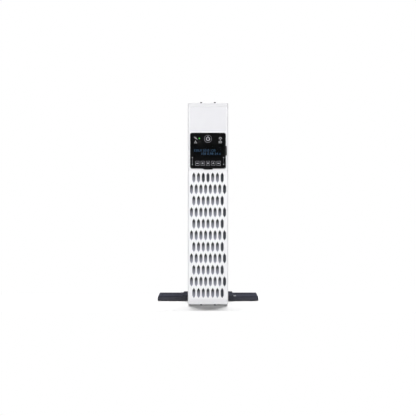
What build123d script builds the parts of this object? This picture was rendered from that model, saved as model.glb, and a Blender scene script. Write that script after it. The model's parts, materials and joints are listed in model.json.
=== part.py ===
"""Tower uninterruptible power supply: slotted front, turning display, battery bay and stand.

X runs to the right seen from the front, Y runs from the front to the back, Z is up.
The origin is on the floor, under the middle of the whole object.
"""
import os

from build123d import *

os.makedirs("parts", exist_ok=True)

# Case
body_width = 86.5
body_height = 433.0
bezel_depth = 32.0
chassis_depth = 372.0
bezel_wall = 2.5
sheet = 1.2
bezel_overlap = 0.25
fit_gap = 0.1
edge_round = 2.0
bezel_round = 3.0

# Front face
cover_height = 287.4
parting_gap = 0.8
groove_depth = 0.8
top_bevel_height = 8.4
bottom_bevel_height = 11.6
bevel_depth = 3.6
field_gap = 3.45
field_margin_top = 8.4
field_margin_side = 4.5
field_recess = 0.4

# Slots of the grille cover
slot_width = 6.4
slot_height = 22.8
slot_taper = 5.8
slot_blunt = 1.0
slot_pitch_x = 10.15
slot_pitch_z = 24.8
slot_side_margin = 2.0
slot_zone_start = 12.1
rib_thick = 1.2
rib_height = 3.5
screen_thick = 1.2
screen_right_edge = 28.0
screen_notch_width = 20.3
screen_notch_shift = -5.0
peg_width = 3.0
peg_inset = 4.5
peg_reach = 6.0

# Display module
display_size = 76.5
display_height = 330.3
display_thick = 7.0
display_gap = 0.4
display_corner = 4.0
display_bevel = 1.4
display_wall = 2.2
display_front_wall = 1.8
turret_radius = 30.0
turret_wall = 4.0
back_plate = 1.5
turret_boss = 6.0
turret_boss_wall = 3.0
running_gap = 0.06
lip_thick = 2.0
turret_lip = 4.0
lip_gap = 0.3
cable_radius = 20.0
board_thick = 1.0
screen_panel_thick = 1.6
window_width = 67.0
window_height = 29.0
window_shift = -1.5
window_thick = 1.0
window_ledge = 2.5
tab_length = 21.0
tab_reach = 2.0
tab_thick = 3.0
tab_slope = 60.0
grip_shift_x = 33.7
grip_shift_z = -22.1
grip_length = 17.2
grip_width = 1.2
grip_depth = 0.5

# Keys and lights on the display
key_width = 9.3
key_height = 10.8
key_pitch = 11.35
key_count = 5
key_shift_z = -27.4
key_proud = 0.8
key_gap = 0.15
key_flange = 0.8
key_flange_lip = 0.7
key_travel = 0.6
switch_size = 4.0
power_radius = 6.9
power_shift_z = 25.1
light_radius = 1.8
light_shift_x = -18.6
light_shift_z = (26.1, 19.0)
light_gap = 0.1

# Bezel latches
claw_shift = 14.75
claw_width = 4.0
claw_length = 6.0
claw_proud = 2.4
claw_gap = 0.3
latch_thick = 3.0
latch_travel = 2.0
latch_setback = 0.5
shelf_thick = 1.5

# Stand
pad_thick = 1.5
pad_radius = 7.0
stand_base_thick = 2.5
stand_span = 229.0
stand_depth = 128.0
stand_setback = 140.0
foot_height = 10.2
foot_wall = 2.5
foot_chamfer = 1.2
collar_height = 13.1
collar_width = 14.0
collar_gap = 0.4
panel_start = 63.0
panel_end = 105.0
panel_margin = 30.0
panel_recess = 0.8
rib_shares = (0.25, 0.5, 0.75)
link_width = 44.0
link_depth = 70.0
link_thick = 1.0
stand_screw_radius = 1.6
stand_screw_head = 3.2

# Chassis
lip_width = 12.0
ear_hole_radius = 2.1
ear_spacing_x = 50.0
ear_spacing_y = 25.0
ear_setback = 32.0
vent_width = 3.5
vent_length = 46.0
vent_pitch = 9.0
vent_row_pitch = 92.0
vent_columns = 14
vent_rows = 2
cover_screw_radius = 1.4
cover_screw_head = 3.0
cover_screw_reach = 6.0
spacer_radius = 3.0
spacer_height = 6.8

# Battery bay
battery_width = 65.0
battery_length = 151.0
battery_body = 86.0
battery_pitch = 91.5
battery_count = 3
battery_setback = 6.0
battery_start = 9.5
battery_round = 2.0
terminal_width = 6.3
terminal_thick = 0.8
terminal_height = 4.5
terminal_setback = 20.0
terminal_shift = 22.0
link_strip = 8.0
link_sheet = 0.8
bay_side = 33.6
bay_depth = 168.0
bay_vent_columns = 3
bay_vent_rows = 7
door_margin = 3.0
door_screw_radius = 1.3
door_screw_head = 2.4
door_screw_shares = (0.25, 0.75)
screw_head_thick = 1.6
pull_length = 46.0
pull_width = 12.0

# Boards and power parts
circuit_thick = 1.6
main_board_width = 150.0
main_board_top = 16.0
main_board_start = 112.0
main_board_setback = 182.0
control_board_width = 130.0
control_board_bottom = 18.6
control_board_top = 17.0
control_board_setback = 18.0
board_margin = 8.0
fin_count = 9
fin_thick = 1.6
fin_pitch = 5.0
sink_height = 34.0
sink_base = 4.0
sink_length = 110.0
capacitor_radius = 11.0
capacitor_length = 42.0
capacitor_pitch = 25.0
capacitor_count = 4
relay_width = 22.0
relay_length = 28.0
relay_height = 24.0
relay_pitch = 33.0
relay_count = 4
core_width = 84.0
core_height = 70.0
core_stack = 44.0
core_leg = 14.0
core_setback = 190.0
core_start = 14.0
winding_swell = 8.0

# Fan
fan_margin = 6.5
fan_depth = 25.0
fan_rim = 2.0
fan_start = 6.0
fan_corner = 4.0
hub_radius = 16.0
hub_gap = 0.8
hub_depth = 14.0
blade_count = 7
blade_gap = 1.4
blade_chord = 18.0
blade_thick = 1.4
blade_angle = 34.0
shaft_radius = 1.5
shaft_length = 8.0
strut_width = 5.0
strut_thick = 3.0
guard_drops = (2.0, 15.0)
guard_wire = 2.0
guard_thick = 1.2
fan_screw_inset = 4.25
fan_screw_radius = 1.9
fan_screw_head = 3.6

# Rear connectors
inlet_place = (-17.0, 108.0)
inlet_flange = (34.0, 26.0)
inlet_recess = (24.5, 16.5)
inlet_depth = 17.0
inlet_wall = 1.6
pin_width = 4.0
pin_thick = 2.0
pin_length = 11.0
pin_pitch = 7.0
flange_thick = 2.0
outlet_columns = (-18.5, 18.5)
outlet_count = 4
outlet_pitch = 34.0
outlet_start = 150.0
outlet_width = 34.0
outlet_core = (19.0, 11.0)
outlet_ring = 2.4
outlet_depth = 16.0
breaker_place = (20.0, 108.0)
breaker_size = (22.0, 24.0)
breaker_depth = 28.0
breaker_button_radius = 5.0
breaker_button_proud = 6.0
breaker_travel = 3.0
breaker_chamfer = 0.6
serial_place = (0.0, 300.0)
serial_shell = (19.0, 11.0)
serial_slope = 80.0
serial_flange = (31.0, 12.5)
usb_place = (-20.0, 322.0)
usb_shell = (12.0, 11.0)
network_place = (15.0, 322.0)
network_shell = (34.0, 14.5)
network_bay = (11.7, 7.0)
network_pitch = 16.0
port_depth = 16.0
port_proud = 0.8
port_wall = 1.0
card_cover_width = 52.0
card_slot_margin_x = 5.0
card_slot_margin_z = 7.0
card_top = 9.0
card_gap = 18.0
thumb_radius = 4.0
thumb_shank = 1.6
thumb_inset = 3.5
ground_margin = 7.25
ground_height = 108.0
ground_radius = 2.0
ground_head = 3.4

# Places that follow from the sizes above
rear_reach = 8.0
lift = pad_thick + stand_base_thick
front_reach = key_proud + display_thick + display_gap
overall_depth = front_reach + bezel_depth + chassis_depth + rear_reach
face_y = front_reach - overall_depth / 2
frame_y = face_y + bezel_depth
rear_y = frame_y + chassis_depth
half_width = body_width / 2
fan_size = body_width - fan_margin
fan_bore = fan_size / 2 - fan_rim
fan_screw_pitch = fan_size - 2 * fan_screw_inset
blade_reach = fan_bore - blade_gap
guard_rings = [fan_bore - drop for drop in guard_drops]
ground_place = (half_width - ground_margin, ground_height)
field_height = body_height - field_margin_top - display_height - display_size / 2 - field_gap
body_top = lift + body_height
cover_top = lift + cover_height
head_bottom = cover_top + parting_gap
display_z = lift + display_height
module_back_y = face_y - display_gap
module_front_y = module_back_y - display_thick
pocket_y = module_front_y + display_front_wall
board_y = module_back_y - back_plate - board_thick
claw_y = face_y + bezel_wall + bevel_depth + latch_setback + claw_length / 2


def front_plane(y):
    """Plane facing the front at depth y, with sketch axes X and Z."""
    return Plane.XZ.offset(-y)


def side_plane(x):
    """Plane facing right at width x, with sketch axes Y and Z."""
    return Plane.YZ.offset(x)


def save(piece, name):
    """Label a finished piece and write it to its own file."""
    piece.part.label = name
    export_step(piece.part, f"parts/{name}.step")


def long_front_edges(piece):
    """Edges that run up the two front corners of a bezel piece."""
    corners = []
    for edge in piece.edges():
        middle = edge.center()
        at_side = abs(abs(middle.X) - half_width) < 0.01
        if at_side and middle.Y < face_y + bevel_depth:
            corners.append(edge)
    return corners


# Bezel head: upper shell with the plain field and the bearing of the display turret
with BuildPart() as bezel_head:
    with BuildSketch(side_plane(-half_width)):
        with BuildLine():
            Polyline(
                (frame_y, head_bottom),
                (face_y, head_bottom),
                (face_y, body_top - top_bevel_height),
                (face_y + bevel_depth, body_top),
                (frame_y, body_top),
                close=True,
            )
        make_face()
    extrude(amount=body_width)
    fillet(long_front_edges(bezel_head), radius=bezel_round)
    with BuildSketch(side_plane(bezel_wall - half_width)):
        with BuildLine():
            Polyline(
                (frame_y, head_bottom + bezel_wall),
                (face_y + bezel_wall, head_bottom + bezel_wall),
                (face_y + bezel_wall, body_top - top_bevel_height),
                (face_y + bezel_wall + bevel_depth, body_top - bezel_wall),
                (frame_y, body_top - bezel_wall),
                close=True,
            )
        make_face()
    extrude(amount=body_width - 2 * bezel_wall, mode=Mode.SUBTRACT)
    with BuildSketch(front_plane(face_y + bezel_wall)):
        with Locations((0, display_z)):
            Circle(turret_radius + turret_boss_wall)
    extrude(amount=-turret_boss)
    with BuildSketch(front_plane(face_y)):
        with Locations((0, display_z)):
            Circle(turret_radius)
    extrude(amount=-(bezel_wall + turret_boss), mode=Mode.SUBTRACT)
    with BuildSketch(front_plane(face_y)):
        with Locations((0, body_top - field_margin_top - field_height / 2)):
            RectangleRounded(body_width - 2 * field_margin_side, field_height, edge_round)
    extrude(amount=-field_recess, mode=Mode.SUBTRACT)
    with BuildSketch(Plane.XY.offset(body_top)):
        with Locations((-claw_shift, claw_y), (claw_shift, claw_y)):
            Rectangle(claw_width + 2 * claw_gap, claw_length + 2 * claw_gap)
    extrude(amount=-bezel_wall, mode=Mode.SUBTRACT)
    # Tongue that closes the back of the parting groove
    with BuildSketch(Plane.XY.offset(head_bottom)):
        with Locations((0, face_y + groove_depth)):
            Rectangle(
                body_width - 2 * bezel_wall, bezel_wall - groove_depth, align=(Align.CENTER, Align.MIN)
            )
    extrude(amount=fit_gap - parting_gap)
    # Shelf that stops the pressed latch
    with BuildSketch(Plane.XY.offset(body_top - bezel_wall - latch_thick - latch_travel - 2 * claw_gap)):
        with Locations((0, (face_y + bezel_wall + claw_y + claw_length) / 2)):
            Rectangle(2 * claw_shift, claw_y + claw_length - face_y - bezel_wall)
    extrude(amount=-shelf_thick)
save(bezel_head, "bezel_head")

# One slot of the grille: straight sides and tapered, rounded ends
with BuildSketch() as slot_shape:
    Polygon(
        (0, slot_height / 2),
        (-slot_width / 2, slot_height / 2 - slot_taper),
        (-slot_width / 2, slot_taper - slot_height / 2),
        (0, -slot_height / 2),
        (slot_width / 2, slot_taper - slot_height / 2),
        (slot_width / 2, slot_height / 2 - slot_taper),
        align=None,
    )
    tips = slot_shape.vertices().sort_by(Axis.Y)
    chamfer([tips[0], tips[-1]], length=slot_blunt)

slot_rows = int((cover_height - slot_zone_start) / slot_pitch_z)
wide_row_slots = int((body_width - 2 * slot_side_margin) / slot_pitch_x)
row_heights = [lift + slot_zone_start + slot_pitch_z * (row + 0.5) for row in range(slot_rows)]
rib_heights = [z + slot_pitch_z / 2 for z in row_heights[:-1]]
peg_places = [
    (side * (half_width - peg_inset), z)
    for side in (-1, 1)
    for z in (row_heights[0], row_heights[-1])
]

# Grille cover: lower shell that pulls off the front of the battery bay
with BuildPart() as grille_cover:
    with BuildSketch(side_plane(-half_width)):
        with BuildLine():
            Polyline(
                (frame_y, lift),
                (face_y + bevel_depth, lift),
                (face_y, lift + bottom_bevel_height),
                (face_y, cover_top),
                (frame_y, cover_top),
                close=True,
            )
        make_face()
    extrude(amount=body_width)
    fillet(long_front_edges(grille_cover), radius=bezel_round)
    with BuildSketch(side_plane(bezel_wall - half_width)):
        with BuildLine():
            Polyline(
                (frame_y, lift + bezel_wall),
                (face_y + bezel_wall + bevel_depth, lift + bezel_wall),
                (face_y + bezel_wall, lift + bottom_bevel_height),
                (face_y + bezel_wall, cover_top - bezel_wall),
                (frame_y, cover_top - bezel_wall),
                close=True,
            )
        make_face()
    extrude(amount=body_width - 2 * bezel_wall, mode=Mode.SUBTRACT)
    # Ribs between the rows carry the dust screen
    with BuildSketch(front_plane(face_y + bezel_wall)):
        for rib_z in rib_heights:
            with Locations((0, rib_z)):
                Rectangle(body_width - 2 * bezel_wall, rib_thick)
    extrude(amount=-rib_height)
    with BuildSketch(front_plane(face_y)):
        for row, row_z in enumerate(row_heights):
            with Locations((0, row_z)):
                with GridLocations(slot_pitch_x, slot_pitch_z, wide_row_slots - 1 + row % 2, 1):
                    add(slot_shape.sketch)
    extrude(amount=-bezel_wall, mode=Mode.SUBTRACT)
    # Guide pegs that run into the front frame
    with BuildSketch(front_plane(face_y + bezel_wall)):
        with Locations(*peg_places):
            Rectangle(peg_width, peg_width)
    extrude(amount=bezel_wall - bezel_depth - peg_reach)
    with BuildSketch(Plane.XY.offset(lift)):
        with Locations((-claw_shift, claw_y), (claw_shift, claw_y)):
            Rectangle(claw_width + 2 * claw_gap, claw_length + 2 * claw_gap)
    extrude(amount=bezel_wall, mode=Mode.SUBTRACT)
save(grille_cover, "grille_cover")

# Dust screen: mesh sheet on the ribs, short of the cable duct on the right
screen_left = fit_gap + bezel_wall - half_width
screen_y = face_y + bezel_wall + rib_height
screen_bottom = lift + bottom_bevel_height
screen_top = cover_top - bezel_wall - fit_gap
with BuildPart() as dust_screen:
    with BuildSketch(front_plane(screen_y)):
        with Locations((screen_left, screen_bottom)):
            Rectangle(
                screen_right_edge - screen_left,
                screen_top - screen_bottom,
                align=(Align.MIN, Align.MIN),
            )
        with Locations((screen_notch_shift, row_heights[-1] + slot_height / 2)):
            Rectangle(
                screen_notch_width,
                slot_pitch_z,
                align=(Align.CENTER, Align.MAX),
                mode=Mode.SUBTRACT,
            )
        with Locations(*peg_places):
            Rectangle(peg_width + 2 * fit_gap, peg_width + 2 * fit_gap, mode=Mode.SUBTRACT)
    extrude(amount=-screen_thick)
save(dust_screen, "dust_screen")


def latch_bar(wall_inside, outward):
    """Sketch heights of a latch: its bar inside the wall and the tips of its claws."""
    bar_outer = wall_inside - outward * claw_gap
    bar_inner = bar_outer - outward * latch_thick
    claw_tip = wall_inside + outward * (bezel_wall + claw_proud)
    return bar_inner, bar_outer, claw_tip


# Bezel latches: a bar behind the wall with two claws that stand out of it
for latch_name, wall_inside, outward in (
    ("latch_top", body_top - bezel_wall, 1),
    ("latch_bottom", lift + bezel_wall, -1),
):
    bar_inner, bar_outer, claw_tip = latch_bar(wall_inside, outward)
    with BuildPart() as latch:
        with BuildSketch(Plane.XY.offset(bar_inner)):
            with Locations((0, claw_y)):
                Rectangle(2 * claw_shift + 2 * claw_width, claw_length)
        extrude(amount=bar_outer - bar_inner)
        with BuildSketch(Plane.XY.offset(bar_outer)):
            with Locations((-claw_shift, claw_y), (claw_shift, claw_y)):
                Rectangle(claw_width, claw_length)
        extrude(amount=claw_tip - bar_outer)
        outer_faces = latch.faces().filter_by(Axis.Z).sort_by(Axis.Z)
        tips = outer_faces[-2:] if outward > 0 else outer_faces[:2]
        chamfer([edge for face in tips for edge in face.edges()], length=claw_gap)
    save(latch, latch_name)

display_places = {"power": (0, display_z + power_shift_z)}
key_places = [
    ((index - (key_count - 1) / 2) * key_pitch, display_z + key_shift_z) for index in range(key_count)
]
light_places = [(light_shift_x, display_z + shift) for shift in light_shift_z]
switch_height = board_y - pocket_y - key_flange - key_travel - fit_gap

# Display housing: square front shell with the window seat, key holes and finger tabs
with BuildPart() as display_housing:
    with BuildSketch(front_plane(module_back_y)):
        with Locations((0, display_z)):
            RectangleRounded(display_size, display_size, display_corner)
    extrude(amount=display_thick)
    front_face = display_housing.faces().sort_by(Axis.Y)[0]
    chamfer(front_face.edges(), length=display_bevel)
    # Finger tabs on the right and at the bottom
    with BuildSketch(front_plane(module_back_y)):
        with Locations((display_size / 2, display_z)):
            Trapezoid(tab_length, tab_reach, tab_slope, align=(Align.CENTER, Align.MIN), rotation=-90)
        with Locations((0, display_z - display_size / 2)):
            Trapezoid(tab_length, tab_reach, tab_slope, align=(Align.CENTER, Align.MIN), rotation=180)
    extrude(amount=tab_thick)
    with BuildSketch(front_plane(module_back_y)):
        with Locations((0, display_z)):
            Rectangle(display_size - 2 * display_wall, display_size - 2 * display_wall)
    extrude(amount=display_thick - display_front_wall, mode=Mode.SUBTRACT)
    with BuildSketch(front_plane(module_front_y)):
        with Locations((0, display_z + window_shift)):
            Rectangle(window_width, window_height)
    extrude(amount=-window_thick, mode=Mode.SUBTRACT)
    with BuildSketch(front_plane(module_front_y)):
        with Locations((0, display_z + window_shift)):
            Rectangle(window_width - 2 * window_ledge, window_height - 2 * window_ledge)
        with Locations(*key_places):
            Rectangle(key_width + 2 * key_gap, key_height + 2 * key_gap)
        with Locations(display_places["power"]):
            Circle(power_radius + key_gap)
        with Locations(*light_places):
            Circle(light_radius + light_gap)
    extrude(amount=-display_front_wall, mode=Mode.SUBTRACT)
    with BuildSketch(front_plane(module_front_y)):
        with Locations((-grip_shift_x, display_z + grip_shift_z), (grip_shift_x, display_z + grip_shift_z)):
            SlotOverall(grip_length, grip_width, rotation=90)
    extrude(amount=-grip_depth, mode=Mode.SUBTRACT)
save(display_housing, "display_housing")

# Display back: plate that closes the module, with a hole for the cable
with BuildPart() as display_back:
    with BuildSketch(front_plane(module_back_y)):
        with Locations((0, display_z)):
            Rectangle(
                display_size - 2 * display_wall - 2 * fit_gap,
                display_size - 2 * display_wall - 2 * fit_gap,
            )
            Circle(cable_radius, mode=Mode.SUBTRACT)
    extrude(amount=back_plate)
save(display_back, "display_back")

# Display turret: round spigot that turns in the bezel, with a lip that holds it from behind
lip_y = face_y + bezel_wall + turret_boss + lip_gap
with BuildPart() as display_turret:
    with BuildSketch(front_plane(module_back_y)):
        with Locations((0, display_z)):
            Circle(turret_radius - running_gap)
    extrude(amount=module_back_y - lip_y)
    with BuildSketch(front_plane(lip_y)):
        with Locations((0, display_z)):
            Circle(turret_radius + turret_lip)
    extrude(amount=-lip_thick)
    with BuildSketch(front_plane(module_back_y)):
        with Locations((0, display_z)):
            Circle(turret_radius - turret_wall)
    extrude(amount=module_back_y - lip_y - lip_thick, mode=Mode.SUBTRACT)
save(display_turret, "display_turret")

# Window sheet in its seat
with BuildPart() as display_window:
    with BuildSketch(front_plane(module_front_y)):
        with Locations((0, display_z + window_shift)):
            Rectangle(window_width - 2 * fit_gap, window_height - 2 * fit_gap)
    extrude(amount=-window_thick)
save(display_window, "display_window")

# Screen panel against the back of the front wall
with BuildPart() as display_screen:
    with BuildSketch(front_plane(pocket_y)):
        with Locations((0, display_z + window_shift)):
            Rectangle(window_width, window_height)
    extrude(amount=-screen_panel_thick)
save(display_screen, "display_screen")

# Display board with one switch under each key and the power button
with BuildPart() as display_board:
    with BuildSketch(front_plane(board_y)):
        with Locations((0, display_z)):
            Rectangle(
                display_size - 2 * display_wall - 2 * display_corner,
                display_size - 2 * display_wall - 2 * fit_gap,
            )
    extrude(amount=-board_thick)
    with BuildSketch(front_plane(board_y)):
        with Locations(*key_places, display_places["power"]):
            Rectangle(switch_size, switch_size)
    extrude(amount=switch_height)
save(display_board, "display_board")


# Power button: round cap with a retaining flange
with BuildPart() as power_button:
    with BuildSketch(front_plane(pocket_y)):
        with Locations(display_places["power"]):
            Circle(power_radius)
    extrude(amount=display_front_wall + key_proud)
    chamfer(power_button.edges().sort_by(Axis.Y)[0], length=key_proud / 2)
    with BuildSketch(front_plane(pocket_y)):
        with Locations(display_places["power"]):
            Circle(power_radius + key_flange_lip)
    extrude(amount=-key_flange)
save(power_button, "power_button")

# Five keys: bevelled caps with retaining flanges
for number, place in enumerate(key_places, start=1):
    with BuildPart() as key:
        with BuildSketch(front_plane(pocket_y)):
            with Locations(place):
                Rectangle(key_width, key_height)
        extrude(amount=display_front_wall + key_proud)
        chamfer(key.faces().sort_by(Axis.Y)[0].edges(), length=key_proud / 2)
        with BuildSketch(front_plane(pocket_y)):
            with Locations(place):
                Rectangle(key_width + 2 * key_flange_lip, key_height + 2 * key_flange_lip)
        extrude(amount=-key_flange)
    save(key, f"key_{number}")

# Status lights: light pipes from the board to the front
for light_name, place in zip(("power_light", "fault_light"), light_places):
    with BuildPart() as light:
        with BuildSketch(front_plane(module_front_y)):
            with Locations(place):
                Circle(light_radius)
        extrude(amount=module_front_y - board_y)
    save(light, light_name)


def corner_box(x, y, z, width, depth, height):
    """Block with its lowest corner at x, y, z, added to the part being built."""
    with Locations((x, y, z)):
        Box(width, depth, height, align=(Align.MIN, Align.MIN, Align.MIN))


chassis_x = half_width - bezel_overlap
inner_x = chassis_x - sheet
chassis_bottom = lift + bezel_overlap
chassis_height = body_height - 2 * bezel_overlap
chassis_mid_z = lift + body_height / 2
chassis_mid_y = (frame_y + rear_y) / 2
plate_height = chassis_height - 2 * sheet - 2 * fit_gap
plate_width = 2 * inner_x - 2 * fit_gap
lip_z = sheet + fit_gap
board_x = spacer_height - inner_x
main_board_y = frame_y + main_board_setback
main_board_z = lift + main_board_start
main_board_height = body_height - main_board_start - main_board_top
control_board_y = frame_y + control_board_setback
control_board_z = cover_top + control_board_bottom
control_board_height = body_top - control_board_top - control_board_z
boards = {
    "main_board": (main_board_y, main_board_z, main_board_width, main_board_height),
    "control_board": (control_board_y, control_board_z, control_board_width, control_board_height),
}
cover_screw_places = [
    (chassis_mid_y + along * chassis_depth / 3, side)
    for along in (-1, 1)
    for side in (-1, 1)
]

# Chassis base: folded channel with the rack-ear holes
with BuildPart() as chassis_base:
    with BuildSketch(front_plane(frame_y)):
        with Locations((-chassis_x, chassis_bottom)):
            Rectangle(
                2 * chassis_x - sheet - fit_gap, chassis_height, align=(Align.MIN, Align.MIN)
            )
        with Locations((-inner_x, chassis_mid_z)):
            Rectangle(
                2 * chassis_x,
                chassis_height - 2 * sheet,
                align=(Align.MIN, Align.CENTER),
                mode=Mode.SUBTRACT,
            )
    extrude(amount=-chassis_depth)
    with BuildSketch(Plane.XY.offset(chassis_bottom)):
        with Locations((0, frame_y + ear_setback)):
            with GridLocations(ear_spacing_x, ear_spacing_y, 2, 2):
                Circle(ear_hole_radius)
        for screw_y, side in cover_screw_places:
            if side > 0:
                with Locations((inner_x - lip_width / 2, screw_y)):
                    Circle(cover_screw_radius)
    extrude(amount=chassis_height, mode=Mode.SUBTRACT)
save(chassis_base, "chassis_base")

# Chassis cover: side panel with two folded lips and rows of vents
with BuildPart() as chassis_cover:
    with BuildSketch(side_plane(inner_x)):
        with Locations((chassis_mid_y, chassis_mid_z)):
            Rectangle(chassis_depth, chassis_height)
        with Locations((rear_y - vent_pitch * vent_columns / 2 - lip_width, chassis_mid_z)):
            with GridLocations(vent_pitch, vent_row_pitch, vent_columns, vent_rows):
                Rectangle(vent_width, vent_length, mode=Mode.SUBTRACT)
    extrude(amount=sheet)
    for lip_base, up in ((chassis_bottom + lip_z, 1), (chassis_bottom + chassis_height - lip_z, -1)):
        with BuildSketch(Plane.XY.offset(lip_base)):
            with Locations((inner_x, chassis_mid_y)):
                Rectangle(
                    lip_width, chassis_depth - 4 * lip_width, align=(Align.MAX, Align.CENTER)
                )
            for screw_y, side in cover_screw_places:
                if side > 0:
                    with Locations((inner_x - lip_width / 2, screw_y)):
                        Circle(cover_screw_radius, mode=Mode.SUBTRACT)
        extrude(amount=up * sheet)
save(chassis_cover, "chassis_cover")

# Cover screws: hexagon heads outside the case, shanks through the lips
with BuildPart() as cover_screws:
    for screw_y, side in cover_screw_places:
        outside = chassis_mid_z + side * chassis_height / 2
        with BuildSketch(Plane.XY.offset(outside)):
            with Locations((inner_x - lip_width / 2, screw_y)):
                RegularPolygon(cover_screw_head, 6)
        extrude(amount=side * screw_head_thick)
        with BuildSketch(Plane.XY.offset(outside)):
            with Locations((inner_x - lip_width / 2, screw_y)):
                RegularPolygon(cover_screw_radius - running_gap, 6)
        extrude(amount=-side * cover_screw_reach)
save(cover_screws, "cover_screws")

bay_bottom = lift + battery_start
bay_top = bay_bottom + battery_count * battery_pitch
door_half = bay_side + door_margin
door_places = [
    (side * (bay_side + door_margin / 2), bay_bottom + share * (bay_top - bay_bottom))
    for side in (-1, 1)
    for share in door_screw_shares
]

# Front frame: bulkhead with the battery opening, the display cable opening and the peg holes
with BuildPart() as front_frame:
    with BuildSketch(front_plane(frame_y)):
        with Locations((0, chassis_mid_z)):
            Rectangle(plate_width, plate_height)
        with Locations((0, (bay_bottom + bay_top) / 2)):
            Rectangle(2 * bay_side, bay_top - bay_bottom, mode=Mode.SUBTRACT)
        with Locations((0, display_z)):
            Circle(cable_radius, mode=Mode.SUBTRACT)
        with Locations(*peg_places):
            Rectangle(peg_width + 2 * fit_gap, peg_width + 2 * fit_gap, mode=Mode.SUBTRACT)
        with Locations(*door_places):
            Circle(door_screw_radius, mode=Mode.SUBTRACT)
    extrude(amount=-sheet)
save(front_frame, "front_frame")

# Battery door: plate over the opening with a finger pull
with BuildPart() as battery_door:
    with BuildSketch(front_plane(frame_y)):
        with Locations((0, (bay_bottom + bay_top) / 2)):
            RectangleRounded(2 * door_half, bay_top - bay_bottom, edge_round)
            SlotOverall(pull_length, pull_width, rotation=90, mode=Mode.SUBTRACT)
        with Locations(*door_places):
            Circle(door_screw_radius, mode=Mode.SUBTRACT)
    extrude(amount=sheet)
save(battery_door, "battery_door")

# Door screws
with BuildPart() as door_screws:
    with BuildSketch(front_plane(frame_y - sheet)):
        with Locations(*door_places):
            RegularPolygon(door_screw_head, 6)
    extrude(amount=screw_head_thick)
    with BuildSketch(front_plane(frame_y - sheet)):
        with Locations(*door_places):
            RegularPolygon(door_screw_radius - running_gap, 6)
    extrude(amount=-cover_screw_reach)
save(door_screws, "door_screws")

# Battery shelf: channel that carries the blocks beside the case wall
with BuildPart() as battery_shelf:
    with BuildSketch(front_plane(frame_y + sheet)):
        with Locations((-inner_x, bay_bottom - sheet)):
            Rectangle(
                inner_x - bay_side + sheet,
                bay_top - bay_bottom + 2 * sheet,
                align=(Align.MIN, Align.MIN),
            )
        with Locations((-inner_x, bay_bottom)):
            Rectangle(
                inner_x - bay_side, bay_top - bay_bottom, align=(Align.MIN, Align.MIN), mode=Mode.SUBTRACT
            )
    extrude(amount=sheet - bay_depth)
save(battery_shelf, "battery_shelf")

battery_x = sheet - bay_side
battery_y = frame_y + battery_setback

# Battery tray: floor, roof and back of the drawer that holds the blocks
with BuildPart() as battery_tray:
    with BuildSketch(side_plane(battery_x)):
        with Locations((battery_y, bay_bottom - fit_gap)):
            Rectangle(
                battery_length + sheet, sheet, align=(Align.MIN, Align.MIN)
            )
        with Locations((battery_y + battery_length, bay_bottom - fit_gap)):
            Rectangle(sheet, battery_count * battery_pitch, align=(Align.MIN, Align.MIN))
    extrude(amount=battery_width)
save(battery_tray, "battery_tray")

# Battery blocks: rounded cases with two blade terminals
for number in range(1, battery_count + 1):
    block_z = bay_bottom + sheet - fit_gap + (number - 1) * battery_pitch
    with BuildPart() as battery:
        corner_box(battery_x, battery_y, block_z, battery_width, battery_length, battery_body)
        fillet(battery.edges().filter_by(Axis.Z), radius=battery_round)
        with BuildSketch(Plane.XY.offset(block_z + battery_body)):
            with Locations((battery_x + battery_width / 2, battery_y + terminal_setback)):
                with GridLocations(2 * terminal_shift, terminal_width, 2, 1):
                    Rectangle(terminal_thick, terminal_width)
        extrude(amount=terminal_height)
    save(battery, f"battery_{number}")

# Battery links: straps from block to block in front of the cases
link_x = battery_x + battery_width / 2 + terminal_shift - link_strip / 2
strap_end = battery_y + terminal_setback - terminal_width / 2 - fit_gap
with BuildPart() as battery_links:
    for number in range(1, battery_count):
        strap_z = bay_bottom + sheet - fit_gap + (number - 1) * battery_pitch + battery_body
        with BuildSketch(side_plane(link_x)):
            with Locations((battery_y - link_sheet, strap_z)):
                Rectangle(
                    strap_end - battery_y + link_sheet,
                    battery_pitch + link_sheet,
                    align=(Align.MIN, Align.MIN),
                )
            with Locations((battery_y, strap_z + link_sheet)):
                Rectangle(
                    strap_end - battery_y + link_sheet,
                    battery_pitch - link_sheet,
                    align=(Align.MIN, Align.MIN),
                    mode=Mode.SUBTRACT,
                )
        extrude(amount=link_strip)
save(battery_links, "battery_links")

# Bay wall: vented sheet between the batteries and the power parts
with BuildPart() as bay_wall:
    with BuildSketch(front_plane(frame_y + bay_depth)):
        with Locations((0, chassis_mid_z)):
            Rectangle(plate_width, chassis_height - 4 * lip_z)
            with GridLocations(slot_pitch_x * 2, slot_pitch_z * 2, bay_vent_columns, bay_vent_rows):
                Rectangle(slot_width, slot_height, mode=Mode.SUBTRACT)
    extrude(amount=-sheet)
save(bay_wall, "bay_wall")

# Circuit boards, each with four spacers that stand on the case wall
for board_name, (y, z, width, height) in boards.items():
    with BuildPart() as board:
        with BuildSketch(side_plane(board_x)):
            with Locations((y + width / 2, z + height / 2)):
                Rectangle(width, height)
        extrude(amount=circuit_thick)
        with BuildSketch(side_plane(-inner_x)):
            with Locations((y + width / 2, z + height / 2)):
                with GridLocations(width - 2 * board_margin, height - 2 * board_margin, 2, 2):
                    RegularPolygon(spacer_radius, 6)
        extrude(amount=spacer_height)
    save(board, board_name)

part_x = board_x + circuit_thick
sink_width = (fin_count - 1) * fin_pitch + fin_thick

# Heat sinks: two finned extrusions standing on the main board
with BuildPart() as heat_sinks:
    for sink_z in (main_board_z + sink_length / 4, main_board_z + sink_length * 3 / 2):
        with BuildSketch(Plane.XY.offset(sink_z)):
            with Locations((part_x, main_board_y + board_margin * 2)):
                Rectangle(sink_base, sink_width, align=(Align.MIN, Align.MIN))
                with GridLocations(sink_height, fin_pitch, 1, fin_count):
                    with Locations((0, sink_width / 2)):
                        Rectangle(sink_height, fin_thick, align=(Align.MIN, Align.CENTER))
        extrude(amount=sink_length)
save(heat_sinks, "heat_sinks")

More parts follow.
